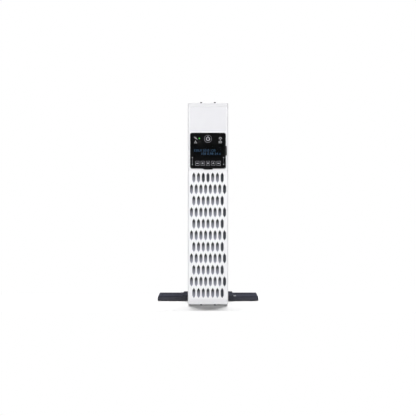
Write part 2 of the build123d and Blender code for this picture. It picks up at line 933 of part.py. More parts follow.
# Capacitors: cans in a row on the main board
part_y = main_board_y + main_board_width - board_margin * 2 - capacitor_radius
with BuildPart() as capacitors:
    with BuildSketch(side_plane(part_x)):
        with Locations((part_y, main_board_z + main_board_height / 4)):
            with GridLocations(capacitor_pitch, capacitor_pitch, 1, capacitor_count):
                Circle(capacitor_radius)
    extrude(amount=capacitor_length)
save(capacitors, "capacitors")

# Relays: sealed cubes in a row on the main board
with BuildPart() as relays:
    with BuildSketch(side_plane(part_x)):
        with Locations((part_y, main_board_z + main_board_height * 3 / 4)):
            with GridLocations(relay_pitch, relay_pitch, 1, relay_count):
                Rectangle(relay_width, relay_length)
    extrude(amount=relay_height)
save(relays, "relays")

core_y = frame_y + core_setback + core_width / 2
core_z = lift + core_start + core_height / 2
window_span = core_width / 2 - core_leg * 3 / 2
window_rise = core_height - 2 * core_leg

# Transformer core: stacked laminations with two windows, flat on the case wall
with BuildPart() as transformer_core:
    with BuildSketch(side_plane(-inner_x)):
        with Locations((core_y, core_z)):
            Rectangle(core_width, core_height)
            with GridLocations(window_span + core_leg, 1, 2, 1):
                Rectangle(window_span, window_rise, mode=Mode.SUBTRACT)
    extrude(amount=core_stack)
save(transformer_core, "transformer_core")

# Transformer winding: rounded coil round the middle leg
with BuildPart() as transformer_winding:
    with BuildSketch(Plane.XY.offset(core_z - window_rise / 2 + fit_gap)):
        with Locations((core_stack / 2 - inner_x, core_y)):
            RectangleRounded(
                core_stack + 2 * winding_swell, core_leg + 2 * window_span - 2 * fit_gap, winding_swell
            )
            Rectangle(core_stack + 2 * fit_gap, core_leg + 2 * fit_gap, mode=Mode.SUBTRACT)
    extrude(amount=window_rise - 2 * fit_gap)
    with BuildSketch(Plane.XY.offset(core_z - window_rise / 2 + fit_gap)):
        with Locations((-inner_x, core_y)):
            Rectangle(4 * winding_swell, 2 * core_width, align=(Align.MAX, Align.CENTER))
    extrude(amount=window_rise, mode=Mode.SUBTRACT)
save(transformer_winding, "transformer_winding")

fan_z = lift + fan_start + fan_size / 2
fan_back_y = rear_y - sheet
fan_front_y = fan_back_y - fan_depth
fan_axis = Axis((0, 0, fan_z), (0, 1, 0))
fan_screw_grid = [
    (x, fan_z + z) for x in (-fan_screw_pitch / 2, fan_screw_pitch / 2)
    for z in (-fan_screw_pitch / 2, fan_screw_pitch / 2)
]

# Fan frame: square duct with struts and the bearing hub
with BuildPart() as fan_frame:
    with BuildSketch(front_plane(fan_front_y)):
        with Locations((0, fan_z)):
            RectangleRounded(fan_size, fan_size, fan_corner)
            Circle(fan_bore, mode=Mode.SUBTRACT)
    extrude(amount=-fan_depth)
    with BuildSketch(front_plane(fan_front_y)):
        with Locations((0, fan_z)):
            Circle(hub_radius)
            with PolarLocations(0, 4):
                with Locations((fan_bore / 2, 0)):
                    Rectangle(fan_bore + strut_thick, strut_width)
    extrude(amount=-strut_thick)
    with BuildSketch(front_plane(fan_front_y + strut_thick)):
        with Locations((0, fan_z)):
            Circle(shaft_radius * 3)
    extrude(amount=-shaft_length)
    with BuildSketch(front_plane(fan_front_y)):
        with Locations((0, fan_z)):
            Circle(shaft_radius + running_gap)
    extrude(amount=-fan_depth, mode=Mode.SUBTRACT)
    with BuildSketch(front_plane(fan_back_y)):
        with Locations(*fan_screw_grid):
            Circle(fan_screw_radius)
    extrude(amount=fan_depth, mode=Mode.SUBTRACT)
save(fan_frame, "fan_frame")

# One pitched fan blade, from inside the hub wall out to its tip
hub_front_y = fan_front_y + strut_thick + hub_gap
blade_mid_y = hub_front_y + hub_depth / 2
blade_root = hub_radius - blade_thick
with BuildPart() as fan_blade:
    with BuildSketch(Plane((blade_root, blade_mid_y, fan_z), x_dir=(0, 1, 0), z_dir=(1, 0, 0))):
        Rectangle(blade_chord, blade_thick, rotation=90 - blade_angle)
    extrude(amount=blade_reach - blade_root)

# Fan rotor: hub cup, shaft and blades
with BuildPart() as fan_rotor:
    with BuildSketch(front_plane(hub_front_y)):
        with Locations((0, fan_z)):
            Circle(hub_radius)
    extrude(amount=-hub_depth)
    with BuildSketch(front_plane(hub_front_y)):
        with Locations((0, fan_z)):
            Circle(hub_radius - sheet)
    extrude(amount=sheet - hub_depth, mode=Mode.SUBTRACT)
    for turn in range(blade_count):
        add(fan_blade.part.rotate(fan_axis, turn * 360 / blade_count))
    with BuildSketch(front_plane(hub_front_y + hub_depth - sheet)):
        with Locations((0, fan_z)):
            Circle(shaft_radius)
    extrude(amount=hub_depth - sheet)
save(fan_rotor, "fan_rotor")

# Fan guard: stamped rings and spokes on the rear panel
with BuildPart() as fan_guard:
    with BuildSketch(front_plane(rear_y)):
        for ring in guard_rings:
            with Locations((0, fan_z)):
                Circle(ring)
                Circle(ring - guard_wire, mode=Mode.SUBTRACT)
        with Locations((0, fan_z)):
            with PolarLocations(0, 4, start_angle=45):
                with Locations((guard_rings[-1] - guard_wire, 0)):
                    Rectangle(
                        fan_screw_pitch / 2**0.5 - guard_rings[-1] + guard_wire,
                        guard_wire,
                        align=(Align.MIN, Align.CENTER),
                    )
        with Locations(*fan_screw_grid):
            Circle(fan_screw_head)
            Circle(fan_screw_radius, mode=Mode.SUBTRACT)
    extrude(amount=-guard_thick)
save(fan_guard, "fan_guard")

# Fan screws through the guard and the rear panel into the frame
with BuildPart() as fan_screws:
    with BuildSketch(front_plane(rear_y + guard_thick)):
        with Locations(*fan_screw_grid):
            RegularPolygon(fan_screw_head, 6)
    extrude(amount=-screw_head_thick)
    with BuildSketch(front_plane(rear_y + guard_thick)):
        with Locations(*fan_screw_grid):
            RegularPolygon(fan_screw_radius - running_gap, 6)
    extrude(amount=guard_thick + sheet + cover_screw_reach)
save(fan_screws, "fan_screws")


def rear_place(place):
    """Sketch place of a connector on the rear panel, from its height above the case bottom."""
    return (place[0], lift + place[1])


inlet_body = (inlet_recess[0] + 2 * inlet_wall, inlet_recess[1] + 2 * inlet_wall)
outlet_body = (outlet_core[0] + 2 * outlet_ring, outlet_core[1] + 2 * outlet_ring)
outlet_shell = (outlet_body[0] + 2 * inlet_wall, outlet_body[1] + 2 * inlet_wall)
outlet_mid = outlet_start + (outlet_count - 1) * outlet_pitch / 2
card_cover_height = body_height - card_top - network_place[1] - card_gap
card_place = (0, body_height - card_top - card_cover_height / 2)
card_cover_size = (card_cover_width, card_cover_height)
card_slot_size = (card_cover_width - 2 * card_slot_margin_x, card_cover_height - 2 * card_slot_margin_z)
thumb_shift = card_cover_height / 2 - thumb_inset
thumb_places = [rear_place((card_place[0], card_place[1] + up * thumb_shift)) for up in (-1, 1)]
ports = {
    "serial_port": (serial_place, serial_shell),
    "usb_port": (usb_place, usb_shell),
    "network_ports": (network_place, network_shell),
}

# Rear panel with the cut-outs of every connector
with BuildPart() as rear_panel:
    with BuildSketch(front_plane(rear_y)):
        with Locations((0, chassis_mid_z)):
            Rectangle(plate_width, plate_height)
        with Locations((0, fan_z)):
            Circle(fan_bore, mode=Mode.SUBTRACT)
        with Locations(*fan_screw_grid):
            Circle(fan_screw_radius, mode=Mode.SUBTRACT)
        with Locations(rear_place(inlet_place)):
            Rectangle(inlet_body[0] + 2 * fit_gap, inlet_body[1] + 2 * fit_gap, mode=Mode.SUBTRACT)
        with Locations(rear_place(breaker_place)):
            Circle(breaker_button_radius + flange_thick, mode=Mode.SUBTRACT)
        with Locations(rear_place(ground_place)):
            Circle(ground_radius, mode=Mode.SUBTRACT)
        for column in outlet_columns:
            with Locations(rear_place((column, outlet_mid))):
                Rectangle(
                    outlet_shell[0] + 2 * fit_gap,
                    outlet_shell[1] + (outlet_count - 1) * outlet_pitch + 2 * fit_gap,
                    mode=Mode.SUBTRACT,
                )
        for place, shell in ports.values():
            with Locations(rear_place(place)):
                Rectangle(shell[0] + 2 * fit_gap, shell[1] + 2 * fit_gap, mode=Mode.SUBTRACT)
        with Locations(rear_place(card_place)):
            Rectangle(*card_slot_size, mode=Mode.SUBTRACT)
        with Locations(*thumb_places):
            Circle(thumb_shank + fit_gap, mode=Mode.SUBTRACT)
    extrude(amount=sheet)
save(rear_panel, "rear_panel")

# Mains inlet: flanged shell with a deep recess and three blades
with BuildPart() as mains_inlet:
    with BuildSketch(front_plane(rear_y)):
        with Locations(rear_place(inlet_place)):
            RectangleRounded(*inlet_flange, edge_round)
    extrude(amount=-flange_thick)
    with BuildSketch(front_plane(rear_y)):
        with Locations(rear_place(inlet_place)):
            Rectangle(*inlet_body)
    extrude(amount=inlet_depth)
    with BuildSketch(front_plane(rear_y + flange_thick)):
        with Locations(rear_place(inlet_place)):
            Rectangle(*inlet_recess)
    extrude(amount=inlet_depth, mode=Mode.SUBTRACT)
    with BuildSketch(front_plane(rear_y + flange_thick - inlet_depth)):
        with Locations(rear_place(inlet_place)):
            with Locations((-pin_pitch, -pin_thick), (0, pin_thick), (pin_pitch, -pin_thick)):
                Rectangle(pin_thick, pin_width)
    extrude(amount=-pin_length)
save(mains_inlet, "mains_inlet")

# Outlet banks: strips of four sockets, each a tongue in a ring-shaped recess
for bank_name, column in zip(("outlet_bank_left", "outlet_bank_right"), outlet_columns):
    bank_place = rear_place((column, outlet_mid))
    with BuildPart() as outlet_bank:
        with BuildSketch(front_plane(rear_y)):
            with Locations(bank_place):
                RectangleRounded(outlet_width, outlet_count * outlet_pitch, edge_round)
        extrude(amount=-flange_thick)
        with BuildSketch(front_plane(rear_y)):
            with Locations(bank_place):
                with GridLocations(1, outlet_pitch, 1, outlet_count):
                    Rectangle(*outlet_shell)
        extrude(amount=outlet_depth)
        with BuildSketch(front_plane(rear_y + flange_thick)):
            with Locations(bank_place):
                with GridLocations(1, outlet_pitch, 1, outlet_count):
                    Rectangle(*outlet_body)
                    Rectangle(*outlet_core, mode=Mode.SUBTRACT)
        extrude(amount=outlet_depth, mode=Mode.SUBTRACT)
        with BuildSketch(front_plane(rear_y + flange_thick)):
            with Locations(bank_place):
                with GridLocations(1, outlet_pitch, 1, outlet_count):
                    with Locations((-pin_pitch, -pin_thick / 2), (0, pin_thick / 2), (pin_pitch, -pin_thick / 2)):
                        Rectangle(pin_thick, pin_width)
        extrude(amount=pin_length, mode=Mode.SUBTRACT)
    save(outlet_bank, bank_name)

# Breaker: boxed body behind the panel with a threaded nose
with BuildPart() as breaker_body:
    with BuildSketch(front_plane(rear_y - sheet)):
        with Locations(rear_place(breaker_place)):
            RectangleRounded(*breaker_size, edge_round)
    extrude(amount=breaker_depth)
    with BuildSketch(front_plane(rear_y - sheet)):
        with Locations(rear_place(breaker_place)):
            Circle(breaker_button_radius + flange_thick - fit_gap)
    extrude(amount=-(sheet + flange_thick))
    with BuildSketch(front_plane(rear_y + flange_thick)):
        with Locations(rear_place(breaker_place)):
            Circle(breaker_button_radius + running_gap)
    extrude(amount=breaker_depth / 2, mode=Mode.SUBTRACT)
save(breaker_body, "breaker_body")

# Breaker reset button, proud of its nose
with BuildPart() as breaker_button:
    with BuildSketch(front_plane(rear_y + breaker_button_proud)):
        with Locations(rear_place(breaker_place)):
            Circle(breaker_button_radius)
    extrude(amount=breaker_button_proud - flange_thick + breaker_depth / 2 - breaker_travel - claw_gap)
    chamfer(breaker_button.edges().group_by(Axis.Y)[-1], length=breaker_chamfer)
save(breaker_button, "breaker_button")

# Serial port: shell with a flange and a solid pin block
with BuildPart() as serial_port:
    with BuildSketch(front_plane(rear_y)):
        with Locations(rear_place(serial_place)):
            RectangleRounded(*serial_flange, edge_round)
    extrude(amount=-port_proud)
    with BuildSketch(front_plane(rear_y - port_depth)):
        with Locations(rear_place(serial_place)):
            Trapezoid(*serial_shell, serial_slope)
    extrude(amount=-(port_depth + rear_reach / 2))
save(serial_port, "serial_port")

# Square data port with its tongue
with BuildPart() as usb_port:
    with BuildSketch(front_plane(rear_y - port_depth)):
        with Locations(rear_place(usb_place)):
            Rectangle(*usb_shell)
    extrude(amount=-(port_depth + port_proud))
    with BuildSketch(front_plane(rear_y + port_proud)):
        with Locations(rear_place(usb_place)):
            Rectangle(usb_shell[0] - 2 * port_wall, usb_shell[1] - 2 * port_wall)
            Rectangle(usb_shell[0] / 2, usb_shell[1] / 4, mode=Mode.SUBTRACT)
    extrude(amount=port_depth / 2, mode=Mode.SUBTRACT)
save(usb_port, "usb_port")

# Pair of network sockets
with BuildPart() as network_ports:
    with BuildSketch(front_plane(rear_y - port_depth)):
        with Locations(rear_place(network_place)):
            Rectangle(*network_shell)
    extrude(amount=-(port_depth + port_proud))
    with BuildSketch(front_plane(rear_y + port_proud)):
        with Locations(rear_place(network_place)):
            with GridLocations(network_pitch, 1, 2, 1):
                Rectangle(*network_bay)
                with Locations((0, network_bay[1] / 2)):
                    Rectangle(network_bay[0] / 2, flange_thick)
    extrude(amount=port_depth - flange_thick, mode=Mode.SUBTRACT)
save(network_ports, "network_ports")

# Card slot cover with a folded stiffening rib
with BuildPart() as card_cover:
    with BuildSketch(front_plane(rear_y)):
        with Locations(rear_place(card_place)):
            RectangleRounded(*card_cover_size, edge_round)
        with Locations(*thumb_places):
            Circle(thumb_shank + fit_gap, mode=Mode.SUBTRACT)
    extrude(amount=-sheet)
    with BuildSketch(front_plane(rear_y)):
        with Locations(rear_place(card_place)):
            Rectangle(card_slot_size[0] - 2 * fit_gap, card_slot_size[1] - 2 * fit_gap)
            Rectangle(
                card_slot_size[0] - 2 * sheet, card_slot_size[1] - 2 * sheet, mode=Mode.SUBTRACT
            )
    extrude(amount=lip_width / 2)
save(card_cover, "card_cover")

# Thumb screws of the card cover
with BuildPart() as thumb_screws:
    with BuildSketch(front_plane(rear_y + sheet)):
        with Locations(*thumb_places):
            RegularPolygon(thumb_radius, 12)
    extrude(amount=sheet - rear_reach)
    with BuildSketch(front_plane(rear_y + sheet)):
        with Locations(*thumb_places):
            RegularPolygon(thumb_shank, 6)
    extrude(amount=lip_width)
save(thumb_screws, "thumb_screws")

# Ground screw
with BuildPart() as ground_screw:
    with BuildSketch(front_plane(rear_y)):
        with Locations(rear_place(ground_place)):
            RegularPolygon(ground_head, 6)
    extrude(amount=-flange_thick)
    with BuildSketch(front_plane(rear_y)):
        with Locations(rear_place(ground_place)):
            RegularPolygon(ground_radius - running_gap, 6)
    extrude(amount=lip_width)
save(ground_screw, "ground_screw")

stand_mid_y = face_y + stand_setback + stand_depth / 2
foot_inner = half_width + collar_gap
foot_end = stand_span / 2
foot_length = foot_end - foot_inner
pad_places = [
    (x, stand_mid_y + side * (stand_depth / 2 - 2 * pad_radius))
    for x in (foot_end - 2 * pad_radius, foot_inner - pad_radius)
    for side in (-1, 1)
]
rib_places = [foot_inner + foot_length * share for share in rib_shares]
link_screw_places = [
    (x, stand_mid_y + y) for x in (-link_width / 4, link_width / 4) for y in (-link_depth / 3, link_depth / 3)
]
pin_place = (foot_inner + collar_width + stand_screw_head, stand_mid_y - stand_depth / 2 + panel_margin / 2)

# Right stand half: ribbed foot, collar beside the case and plate under it
with BuildPart() as stand_right:
    with BuildSketch(Plane.XY.offset(pad_thick)):
        with Locations((foot_inner, stand_mid_y)):
            Rectangle(foot_length, stand_depth, align=(Align.MIN, Align.CENTER))
    extrude(amount=foot_height - pad_thick)
    chamfer(stand_right.faces().sort_by(Axis.Z)[-1].edges().sort_by(Axis.X)[1:], length=foot_chamfer)
    with BuildSketch(Plane.XY.offset(pad_thick)):
        with Locations((foot_inner, stand_mid_y)):
            Rectangle(collar_width, stand_depth, align=(Align.MIN, Align.CENTER))
    extrude(amount=collar_height - pad_thick)
    chamfer(
        stand_right.faces().sort_by(Axis.Z)[-1].edges().sort_by(Axis.X)[-1], length=foot_chamfer
    )
    with BuildSketch(Plane.XY.offset(pad_thick)):
        with Locations(((foot_inner + foot_wall + foot_end - foot_wall) / 2, stand_mid_y)):
            Rectangle(foot_length - 2 * foot_wall, stand_depth - 2 * foot_wall)
    extrude(amount=foot_height - pad_thick - foot_wall, mode=Mode.SUBTRACT)
    with BuildSketch(Plane.XY.offset(pad_thick)):
        for rib_x in rib_places:
            with Locations((rib_x, stand_mid_y)):
                Rectangle(foot_wall, stand_depth - foot_wall)
        with Locations(*pad_places[:2]):
            Circle(pad_radius)
    extrude(amount=foot_height - pad_thick - foot_wall)
    with BuildSketch(Plane.XY.offset(pad_thick)):
        with Locations((0, stand_mid_y)):
            Rectangle(foot_inner + foot_wall, stand_depth, align=(Align.MIN, Align.CENTER))
    extrude(amount=stand_base_thick)
    with BuildSketch(Plane.XY.offset(pad_thick)):
        with Locations((0, stand_mid_y)):
            Rectangle(link_width + 2 * fit_gap, link_depth + 2 * fit_gap)
    extrude(amount=link_thick, mode=Mode.SUBTRACT)
    with BuildSketch(Plane.XY.offset(pad_thick)):
        with Locations(*link_screw_places):
            Circle(stand_screw_radius)
    extrude(amount=stand_base_thick, mode=Mode.SUBTRACT)
    with BuildSketch(Plane.XY.offset(foot_height)):
        with Locations(((panel_start + panel_end) / 2, stand_mid_y)):
            RectangleRounded(panel_end - panel_start, stand_depth - 2 * panel_margin, edge_round)
    extrude(amount=-panel_recess, mode=Mode.SUBTRACT)
    with BuildSketch(Plane.XY.offset(foot_height)):
        with Locations(pin_place):
            Circle(stand_screw_radius)
    extrude(amount=-foot_wall, mode=Mode.SUBTRACT)
save(stand_right, "stand_right")

# Left stand half: the same moulding turned round
stand_axis = Axis((0, stand_mid_y, 0), (0, 0, 1))
with BuildPart() as stand_left:
    add(stand_right.part.rotate(stand_axis, 180))
save(stand_left, "stand_left")

# Link plate that joins the halves under the case
with BuildPart() as stand_link:
    with BuildSketch(Plane.XY.offset(pad_thick)):
        with Locations((0, stand_mid_y)):
            Rectangle(link_width, link_depth)
        with Locations(*link_screw_places):
            Circle(stand_screw_radius, mode=Mode.SUBTRACT)
    extrude(amount=link_thick)
save(stand_link, "stand_link")

# Stand screws: flush studs in the link plate and one hexagon head on each foot
with BuildPart() as stand_screws:
    with BuildSketch(Plane.XY.offset(pad_thick)):
        with Locations(*link_screw_places):
            RegularPolygon(stand_screw_radius - running_gap, 6)
    extrude(amount=stand_base_thick - fit_gap)
    for turn in (0, 180):
        with BuildSketch(Plane.XY.offset(foot_height)):
            with Locations(pin_place):
                RegularPolygon(stand_screw_head, 6)
        pan_head = extrude(amount=screw_head_thick, mode=Mode.PRIVATE)
        add(pan_head.rotate(stand_axis, turn))
        with BuildSketch(Plane.XY.offset(foot_height)):
            with Locations(pin_place):
                RegularPolygon(stand_screw_radius - running_gap, 6)
        shank = extrude(amount=-foot_wall, mode=Mode.PRIVATE)
        add(shank.rotate(stand_axis, turn))
save(stand_screws, "stand_screws")

# Rubber pads under both halves
with BuildPart() as stand_pads:
    with BuildSketch():
        with Locations(*pad_places, *[(-x, 2 * stand_mid_y - y) for x, y in pad_places]):
            Circle(pad_radius)
    extrude(amount=pad_thick)
save(stand_pads, "stand_pads")
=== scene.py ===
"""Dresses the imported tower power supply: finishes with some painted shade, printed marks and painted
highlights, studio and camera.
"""
import json
import math

import bmesh
import bpy
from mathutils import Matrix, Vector


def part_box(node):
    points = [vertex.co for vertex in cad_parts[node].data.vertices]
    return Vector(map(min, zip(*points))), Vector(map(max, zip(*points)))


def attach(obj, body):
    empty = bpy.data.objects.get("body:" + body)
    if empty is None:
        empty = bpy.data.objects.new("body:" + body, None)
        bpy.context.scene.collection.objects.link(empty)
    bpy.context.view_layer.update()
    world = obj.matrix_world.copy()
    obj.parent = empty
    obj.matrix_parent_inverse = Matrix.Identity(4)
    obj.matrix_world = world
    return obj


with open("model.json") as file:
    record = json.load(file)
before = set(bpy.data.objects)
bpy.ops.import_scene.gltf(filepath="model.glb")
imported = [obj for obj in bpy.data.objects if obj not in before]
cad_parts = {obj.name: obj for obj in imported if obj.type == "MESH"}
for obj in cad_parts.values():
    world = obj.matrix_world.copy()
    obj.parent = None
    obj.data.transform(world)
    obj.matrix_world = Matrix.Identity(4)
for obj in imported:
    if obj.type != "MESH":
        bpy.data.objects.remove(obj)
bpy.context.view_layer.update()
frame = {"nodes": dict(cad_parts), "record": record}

MM = 0.001
WHITE = (1.0, 1.0, 1.0, 1.0)
nodes = frame["nodes"]
cover_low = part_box("grille_cover")[0]
FACE_Y = cover_low[1]
BODY_BOTTOM = cover_low[2]
DISPLAY_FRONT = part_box("display_housing")[0][1]
DISPLAY_Z = BODY_BOTTOM + 330.3 * MM
FEET_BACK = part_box("stand_left")[1][1]

# Camera, from the photograph: level, in front of the case, on the middle of the picture
CAMERA_DISTANCE = 2.5
CAMERA_HEIGHT = 207.2 * MM
CAMERA_REACH = 50.0
SENSOR = 36.0
FRAME_WIDTH = 894.0 * MM

# Slot rows of the cover: painted shade makes the screen behind each row darker towards its upper rib
ROW_PITCH = 24.8 * MM
ROW_START = BODY_BOTTOM + 12.1 * MM
ROW_PAINTED_SHADE = ((0.15, 1.0), (0.4, 0.66), (0.55, 0.36), (0.7, 0.1), (0.82, 0.01))

# Faces of the bezel head that belong to its sunk field: depth behind the face, and facing the front
FIELD_DEPTH = (0.2 * MM, 0.6 * MM)
FIELD_FACING = -0.9

# Scales of the noise in the finishes, in waves per metre
PLASTIC_DRIFT, PLASTIC_GLOSS = 22.0, 60.0
STEEL_DRIFT, STEEL_GLOSS = 35.0, 90.0
METAL_STREAKS = 60.0
MESH_GLOSS = 40.0
GLASS_DRIFT, GLASS_SMEAR = 18.0, 30.0
GLOW_DRIFT = 400.0
# Blender's wave texture multiplies its coordinate by this
WAVE_FACTOR = 20.0

# Lamp above and behind the case
LAMP_PLACE = (0.0, 1.9, 2.2)
LAMP_TARGET = (0.0, -0.1, 0.0)
LAMP_SIZE = (2.4, 0.3)
LAMP_POWER = 290.0

# Surround, as factors of its strength: direction's axis, from, to, first and last value
LIGHT_FACTORS = (
    ("Y", -0.985, -0.88, 19.6, 0.0),
    ("Z", 0.0, 0.3, 0.35, 1.0),
    ("Z", 0.45, 0.75, 1.0, 0.0),
)
LIGHT_COLOUR = (0.99, 0.99, 1.0, 1.0)
MIRROR_FACTORS = (
    ("Y", -0.75, -0.1, 0.03, 1.0),
    ("Y", 0.1, 0.6, 1.0, 0.15),
    ("X", -0.6, 1.0, 0.15, 2.0),
)

# Floor: its tone when seen and to other rays, and the strip round the case that takes the shadow
FLOOR_SIZE = 30.0
FLOOR_SEEN = 0.75
FLOOR_BOUNCE = 0.16
SHADOW_END = FACE_Y - 106.0 * MM
STRIP_FRONT = (SHADOW_END - 12.0 * MM, SHADOW_END + 4.0 * MM)
STRIP_BACK = (FEET_BACK + 10.0 * MM, FEET_BACK + 70.0 * MM)
STRIP_SIDE = (0.3, 0.5)
# Light of its own under the case, where the shadow would be too deep
UNDER_LIGHT = 0.12
UNDER_FRONT = (FACE_Y - 6.0 * MM, FACE_Y + 6.0 * MM)
UNDER_SIDE = (44.0 * MM, 50.0 * MM)
# In gloss the floor darkens towards the front, as the surround does
GLOSS_FADE = ("Y", -1.4, -0.5, 0.03, 1.0)


def add_camera():
    data = bpy.data.cameras.new("photo_camera")
    data.sensor_width = SENSOR
    data.lens = SENSOR * CAMERA_DISTANCE / FRAME_WIDTH
    data.clip_end = CAMERA_REACH
    camera = bpy.data.objects.new("photo_camera", data)
    camera.location = (0.0, FACE_Y - CAMERA_DISTANCE, BODY_BOTTOM + CAMERA_HEIGHT)
    camera.rotation_euler = (math.radians(90), 0.0, 0.0)
    bpy.context.scene.collection.objects.link(camera)
    bpy.context.scene.camera = camera


def linear(code):
    """Linear colour of a hexadecimal display colour."""
    channels = [int(code[i:i + 2], 16) / 255 for i in (1, 3, 5)]
    return tuple(c / 12.92 if c <= 0.04045 else ((c + 0.055) / 1.055) ** 2.4 for c in channels) + (1.0,)


class Tree:
    """The emptied node tree of a material or world, with short calls for its nodes."""

    def __init__(self, owner, coords):
        owner.use_nodes = True
        self.tree = owner.node_tree
        self.tree.nodes.clear()
        self.coords = self.node("ShaderNodeTexCoord").outputs[coords]

    def node(self, kind, **settings):
        made = self.tree.nodes.new(kind)
        for name, value in settings.items():
            setattr(made, name, value)
        return made

    def link(self, output, socket):
        self.tree.links.new(output, socket)

    def joined(self, operation, first, second):
        """Two values joined by a math operation."""
        both = self.node("ShaderNodeMath", operation=operation)
        self.link(first, both.inputs[0])
        self.link(second, both.inputs[1])
        return both.outputs[0]

    def spread(self, factor, low, high):
        """A value from 0 to 1, spread from low to high."""
        ranged = self.node("ShaderNodeMapRange")
        ranged.inputs["To Min"].default_value = low
        ranged.inputs["To Max"].default_value = high
        self.link(factor, ranged.inputs["Value"])
        return ranged.outputs[0]

    def along(self, axis, start, end, first, last):
        """A value that goes from first to last between two places on an axis."""
        split = self.node("ShaderNodeSeparateXYZ")
        self.link(self.coords, split.inputs[0])
        ranged = self.spread(split.outputs[axis], first, last)
        ranged.node.inputs["From Min"].default_value = start
        ranged.node.inputs["From Max"].default_value = end
        return ranged


class Shader(Tree):
    """A node material with one Principled shader."""

    def __init__(self, name):
        self.material = bpy.data.materials.new(name)
        super().__init__(self.material, "Object")
        self.bsdf = self.node("ShaderNodeBsdfPrincipled")
        output = self.node("ShaderNodeOutputMaterial")
        self.link(self.bsdf.outputs[0], output.inputs[0])

    def set(self, **values):
        for name, value in values.items():
            self.bsdf.inputs[name.replace("_", " ")].default_value = value

    def feed(self, **outputs):
        """Links outputs to the shader's inputs."""
        for name, output in outputs.items():
            self.link(output, self.bsdf.inputs[name.replace("_", " ")])

    def noise(self, scale, detail=3.0, stretch=(1, 1, 1)):
        mapping = self.node("ShaderNodeMapping")
        mapping.inputs["Scale"].default_value = stretch
        self.link(self.coords, mapping.inputs["Vector"])
        texture = self.node("ShaderNodeTexNoise")
        texture.inputs["Scale"].default_value = scale
        texture.inputs["Detail"].default_value = detail
        self.link(mapping.outputs[0], texture.inputs["Vector"])
        return texture.outputs["Fac"]

    def ramp(self, factor, stops):
        """Colour ramp through stops of position and linear colour."""
        ramp = self.node("ShaderNodeValToRGB")
        elements = ramp.color_ramp.elements
        for element, (position, colour) in zip(elements, (stops[0], stops[-1])):
            element.position = position
            element.color = colour
        for position, colour in stops[1:-1]:
            elements.new(position).color = colour
        self.link(factor, ramp.inputs[0])
        return ramp.outputs[0]

    def blend_colours(self, factor, first, second, low=0.35, high=0.65):
        return self.ramp(factor, ((low, linear(first)), (high, linear(second))))

    def bump(self, height, strength, depth, edge=0.0):
        """Bump of a depth in millimetres, over edges softened by a radius in millimetres."""
        bump = self.node("ShaderNodeBump")
        bump.inputs["Strength"].default_value = strength
        bump.inputs["Distance"].default_value = depth * MM
        self.link(height, bump.inputs["Height"])
        if edge:
            bevel = self.node("ShaderNodeBevel", samples=4)
            bevel.inputs["Radius"].default_value = edge * MM
            self.link(bevel.outputs[0], bump.inputs["Normal"])
        self.feed(Normal=bump.outputs[0])


def plastic(name, first, second, rough, grain, depth, edge=0.5, specular=0.5):
    """Moulded plastic: faint colour drift, uneven gloss and a fine moulded grain."""
    shader = Shader(name)
    shader.feed(Base_Color=shader.blend_colours(shader.noise(PLASTIC_DRIFT), first, second))
    shader.feed(Roughness=shader.spread(shader.noise(PLASTIC_GLOSS), *rough))
    shader.bump(shader.noise(grain, detail=2.0), strength=0.35, depth=depth, edge=edge)
    shader.set(Specular_IOR_Level=specular)
    return shader.material


def painted_steel(name, first, second, rough, grain, depth):
    """Powder coat: orange-peel bump over sheet steel."""
    shader = Shader(name)
    shader.feed(Base_Color=shader.blend_colours(shader.noise(STEEL_DRIFT), first, second))
    shader.feed(Roughness=shader.spread(shader.noise(STEEL_GLOSS), *rough))
    shader.bump(shader.noise(grain, detail=1.0), strength=0.5, depth=depth, edge=0.4)
    return shader.material


def metal(name, first, second, rough, stretch=(1, 1, 30)):
    """Bare or plated metal with drawn streaks."""
    shader = Shader(name)
    streaks = shader.noise(METAL_STREAKS, detail=4.0, stretch=stretch)
    shader.feed(Base_Color=shader.blend_colours(streaks, first, second))
    shader.feed(Roughness=shader.spread(streaks, *rough))
    shader.bump(streaks, strength=0.2, depth=0.04, edge=0.3)
    shader.set(Metallic=1.0)
    return shader.material


def mesh_sheet_with_painted_shade(name, wire, hole, pitch):
    """Fine woven mesh: crossed waves darken the holes, and painted shade makes each slot row darker under
    its rib.
    """
    shader = Shader(name)
    waves = []
    for direction in ("X", "Z"):
        wave = shader.node("ShaderNodeTexWave", bands_direction=direction)
        wave.inputs["Scale"].default_value = 2 * math.pi / (pitch * MM * WAVE_FACTOR)
        shader.link(shader.coords, wave.inputs["Vector"])
        waves.append(wave.outputs["Fac"])
    crossed = shader.joined("MULTIPLY", *waves)
    weave = shader.blend_colours(crossed, wire, hole, low=0.3, high=0.7)
    # Painted shade: a tone by height that darkens the screen towards the upper rib of each slot row
    rise = shader.along("Z", ROW_START, ROW_START + ROW_PITCH, 0.0, 1.0)
    rise.node.clamp = False
    row = shader.node("ShaderNodeMath", operation="FRACT")
    shader.link(rise, row.inputs[0])
    row_painted_shade = shader.ramp(row.outputs[0], [(place, (value,) * 3 + (1.0,)) for place, value in ROW_PAINTED_SHADE])
    shaded = shader.node("ShaderNodeMix", data_type="RGBA", blend_type="MULTIPLY")
    shaded.inputs["Factor"].default_value = 1.0
    shader.link(weave, shaded.inputs["A"])
    shader.link(row_painted_shade, shaded.inputs["B"])
    shader.feed(Base_Color=shaded.outputs["Result"])
    shader.feed(Roughness=shader.spread(shader.noise(MESH_GLOSS), low=0.5, high=0.65))
    shader.bump(crossed, strength=0.4, depth=0.1)
    return shader.material


def glass(name, first, second):
    """Clear tinted sheet over the screen, with a faint smear in its gloss."""
    shader = Shader(name)
    shader.feed(Base_Color=shader.blend_colours(shader.noise(GLASS_DRIFT), first, second))
    shader.feed(Roughness=shader.spread(shader.noise(GLASS_SMEAR), low=0.01, high=0.05))
    shader.set(Transmission_Weight=1.0, IOR=1.46, Specular_IOR_Level=0.3)
    return shader.material


